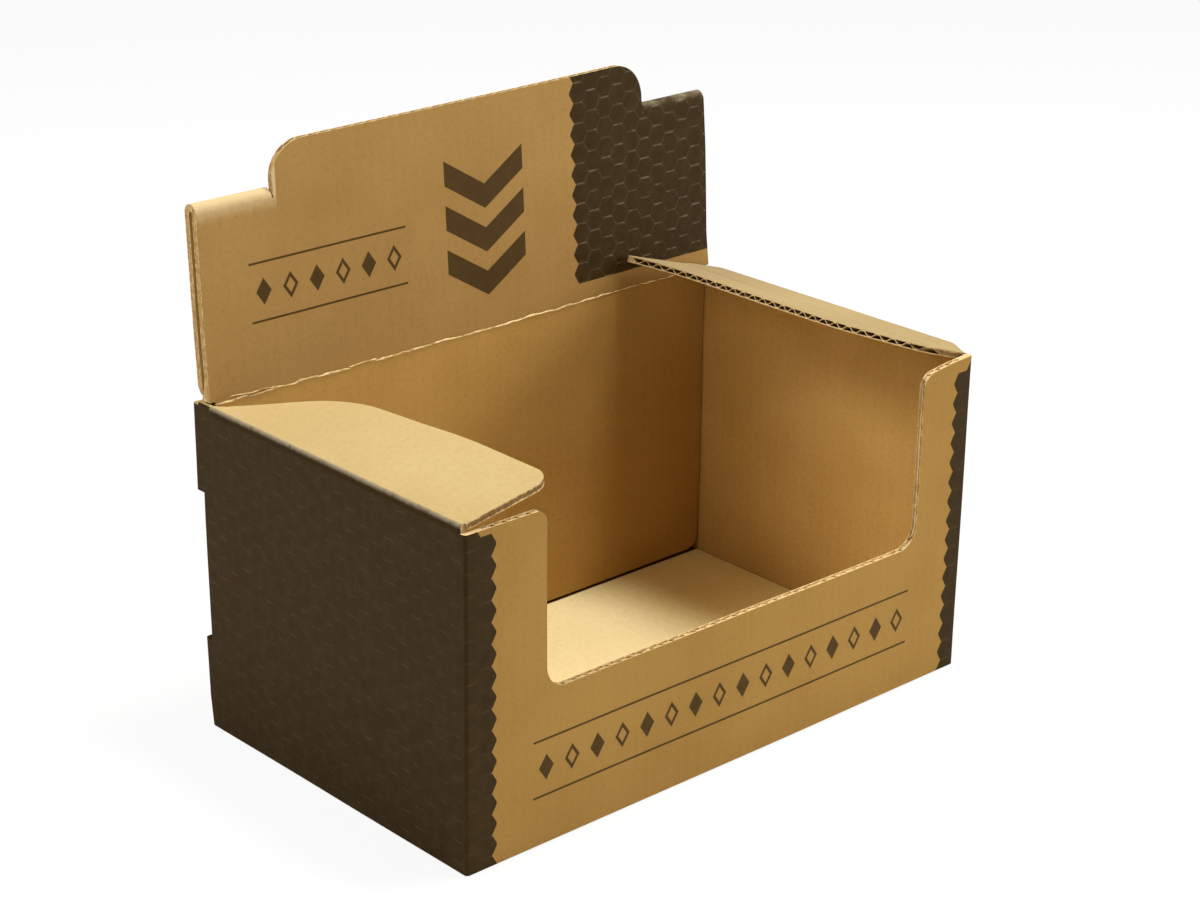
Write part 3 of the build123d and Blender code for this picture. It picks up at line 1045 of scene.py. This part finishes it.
# one strand: a narrow strip, thin at both ends, that stands off the board at its lower side
def addStrand(shape, first, last, level, slope, width):
    lean = math.tan(board["lean"])
    front = creaseY - halfThick
    sunk = rimCrease["sunk"]
    steady, chipped = rimCrease["chips"]
    steps = max(6, int((last - first) / rimCrease["step"]))
    made = bmesh.ops.create_grid(shape, x_segments=steps, y_segments=4, size=0.5)
    for vertex in made["verts"]:
        along = first + (vertex.co.x + 0.5) * (last - first)
        share = vertex.co.y * 2
        taper = math.sqrt(max(0.0, 1 - (2 * vertex.co.x) ** 4))
        chips = readNoise(along, level, edgeNoise["chips"], share / 2)
        quick = readNoise(along, level, edgeNoise["quick"])
        sway = readNoise(along, level, edgeNoise["sway"])
        half = width * taper * (1.0 + rimCrease["widthPlay"] * quick)
        up = level + slope * (along - (first + last) / 2) + share * half
        up += rimCrease["ripple"] * (sway + quick / 2)
        fromCrest = share + rimCrease["crest"]
        body = 1 - (fromCrest / (1 + rimCrease["crest"] if fromCrest > 0 else rimCrease["lower"])) ** 2
        stand = (rimCrease["height"] * (steady + chipped * chips) * taper + sunk) * body - sunk
        place = Vector((along, front + max(0.0, up - board["rim"]) * lean - stand, up))
        vertex.co = (place + drift(place)) * mm


def addRow(shape, first, last, level, width, seed):
    low, high = rimCrease["strand"]
    at = first
    count = 0
    while at < last - 1.0:
        pick = 0.5 + readNoise(seed, count, strandNoise["length"]) / 2
        length = min(low + (high - low) * min(1.0, max(0.0, pick)), last - at)
        shift = rimCrease["wander"] * readNoise(seed, count, strandNoise["shift"])
        slope = rimCrease["slope"] * readNoise(seed, count, strandNoise["slope"])
        strandWidth = width if at < rimCrease["openTo"] else width * rimCrease["closed"]
        addStrand(shape, at - rimCrease["overlap"] / 2, at + length, level + shift, slope, strandWidth)
        at += length
        count += 1


def makeCrease():
    shape = bmesh.new()
    width = rimCrease["halfWidth"]
    addRow(shape, rimCrease["from"], rimCrease["to"], rimCrease["level"], width, 1)
    frayed = rimCrease["level"] + rimCrease["frayGap"]
    addRow(shape, *rimCrease["fray"], frayed, rimCrease["frayWidth"] * width, 2)
    shape.normal_update()
    turned = [face for face in shape.faces if face.normal.y > 0]
    bmesh.ops.reverse_faces(shape, faces=turned)
    piece = sheetPiece("rimCrease", shape, creaseMaterial(), rimCrease["thick"])
    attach(piece, "tray")
    print("rim crease", len(piece.data.polygons), "faces")


makeCrease()

# torn fibres in the mouths of the flutes along the cut-out of the front wall
tornEdge = {
    "left": -60.0,  # inner edges of the two posts
    "right": 66.0,
    "lip": 39.4,
    "post": 84.9,
    "cornerRadius": 6.0,
    "postRadius": 3.5,
    "outer": 80.5,  # the strip ends this far out
    "depth": 0.34,
    "ragged": 0.30,
    "pace": 0.75,  # of the lumps, along and across
    "paceAcross": 0.8,
    "halfWidth": 0.62,
    "strips": 4,
    "step": 0.45,
    "arcSteps": 14,
    "thick": 0.2,
}


def arcPoints(centre, radius, first, last):
    points = []
    count = tornEdge["arcSteps"]
    for step in range(count + 1):
        angle = math.radians(first + (last - first) * step / count)
        points.append(Vector(centre) + radius * Vector((math.cos(angle), math.sin(angle))))
    return points


# outline of the front wall's upper edge from post to post, moved into the board by the depth
def tornOutline():
    depth = tornEdge["depth"]
    corner = tornEdge["cornerRadius"]
    post = tornEdge["postRadius"]
    low = tornEdge["lip"] + corner
    high = tornEdge["post"] - post
    left = tornEdge["left"]
    right = tornEdge["right"]
    points = [Vector((-tornEdge["outer"], tornEdge["post"] - depth))]
    points += arcPoints((left - post, high), post - depth, 90, 0)
    points += arcPoints((left + corner, low), corner + depth, 180, 270)
    points += arcPoints((right - corner, low), corner + depth, 270, 360)
    points += arcPoints((right + post, high), post - depth, 180, 90)
    points.append(Vector((tornEdge["outer"], tornEdge["post"] - depth)))
    return points


def makeTornEdge():
    points = tornOutline()
    places = [points[0]]
    for first, last in zip(points, points[1:]):
        count = max(1, int((last - first).length / tornEdge["step"]))
        places += [first.lerp(last, (step + 1) / count) for step in range(count)]
    shape = bmesh.new()
    rows = []
    middle = halfThick - board["halfDepth"]
    strips = tornEdge["strips"]
    pace = tornEdge["pace"]
    for index, place in enumerate(places):
        before = places[max(0, index - 1)]
        after = places[min(len(places) - 1, index + 1)]
        run = (after - before).normalized()
        out = Vector((-run.y, run.x))
        row = []
        for strip in range(strips + 1):
            share = 2 * strip / strips - 1
            lump = noise.noise(Vector((place.x * pace, place.y * pace, share * tornEdge["paceAcross"])))
            at = place + out * (tornEdge["ragged"] * lump)
            point = Vector((at.x, middle + share * tornEdge["halfWidth"], at.y))
            row.append(shape.verts.new((point + trayDrift(point)) * mm))
        rows.append(row)
    for first, last in zip(rows, rows[1:]):
        for strip in range(strips):
            shape.faces.new((first[strip], last[strip], last[strip + 1], first[strip + 1]))
    shape.normal_update()
    if max(shape.faces, key=lambda face: face.calc_center_median().z).normal.z < 0:
        bmesh.ops.reverse_faces(shape, faces=shape.faces)
    piece = sheetPiece("tornEdge", shape, materials["cut"], tornEdge["thick"])
    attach(piece, "tray")
    print("torn edge", len(piece.data.polygons), "faces")


makeTornEdge()

# floor, light and camera
studio = {
    "floorTone": (238, 237, 234),
    "floorReach": 3.0,
    "floorDrop": 0.4,  # mm
    "floorRough": 0.9,
    "whiteShare": 0.86,
    "ambient": 0.16,
    "lamps": {  # place, size and watts
        "overheadLamp": ((0.227, -0.117, 1.066), (0.26, 0.30), 10.5),
        "rearLamp": ((-0.562, 0.365, 0.854), (0.32, 0.32), 6.9),
        "frontLamp": ((0.75, -0.75, 0.38), (0.50, 0.50), 8.1),
        "sideLamp": ((-0.86, 0.0, 0.66), (0.40, 0.40), 1.4),
    },
}
white = (1, 1, 1, 1)


def makeFloor():
    shape = bmesh.new()
    bmesh.ops.create_grid(shape, x_segments=1, y_segments=1, size=studio["floorReach"])
    mesh = bpy.data.meshes.new("studioFloor")
    shape.to_mesh(mesh)
    shape.free()
    floor = bpy.data.objects.new("studioFloor", mesh)
    floor.location.z = -studio["floorDrop"] * mm
    scene.collection.objects.link(floor)
    material = bpy.data.materials.new("paleFloor")
    material.use_nodes = True
    tree = material.node_tree
    shader = tree.nodes["Principled BSDF"]
    shader.inputs["Base Color"].default_value = paint(*studio["floorTone"])
    shader.inputs["Roughness"].default_value = studio["floorRough"]
    glow = addNode(tree, "ShaderNodeEmission", {"Color": white, "Strength": 1.0})
    seen = tree.nodes.new("ShaderNodeLightPath").outputs["Is Camera Ray"]
    share = calc(tree, "MULTIPLY", seen, studio["whiteShare"])
    blend = addNode(tree, "ShaderNodeMixShader", {0: share, 1: shader.outputs[0], 2: glow.outputs[0]})
    tree.links.new(blend.outputs[0], tree.nodes["Material Output"].inputs[0])
    mesh.materials.append(material)


def makeLight():
    world = bpy.data.worlds.new("studioWorld")
    scene.world = world
    world.use_nodes = True
    tree = world.node_tree
    sky = tree.nodes["Background"]
    sky.inputs["Color"].default_value = white
    seen = tree.nodes.new("ShaderNodeLightPath").outputs["Is Camera Ray"]
    tree.links.new(between(tree, seen, studio["ambient"], 1.0), sky.inputs["Strength"])
    for name, (place, size, watts) in studio["lamps"].items():
        lamp = bpy.data.lights.new(name, "AREA")
        lamp.shape = "RECTANGLE"
        lamp.size, lamp.size_y = size
        lamp.energy = watts
        light = bpy.data.objects.new(name, lamp)
        light.location = place
        light.rotation_euler = (-light.location).to_track_quat("-Z", "Y").to_euler()
        scene.collection.objects.link(light)


photoView = {
    "place": (-0.43909, -0.47858, 0.32907),
    "heading": math.radians(-42.635),
    "down": math.radians(21.915),
    "roll": math.radians(0.748),
    "lens": 83.99,
    "sensor": 36.0,
}


def makeCamera():
    data = bpy.data.cameras.new("photoCamera")
    data.lens = photoView["lens"]
    data.sensor_width = photoView["sensor"]
    camera = bpy.data.objects.new("photoCamera", data)
    turn = Matrix.Rotation(photoView["heading"], 4, "Z")
    turn @= Matrix.Rotation(math.pi / 2 - photoView["down"], 4, "X")
    turn @= Matrix.Rotation(photoView["roll"], 4, "Z")
    camera.matrix_world = Matrix.Translation(photoView["place"]) @ turn
    scene.collection.objects.link(camera)
    scene.camera = camera


makeFloor()
makeLight()
makeCamera()
print("studio set")
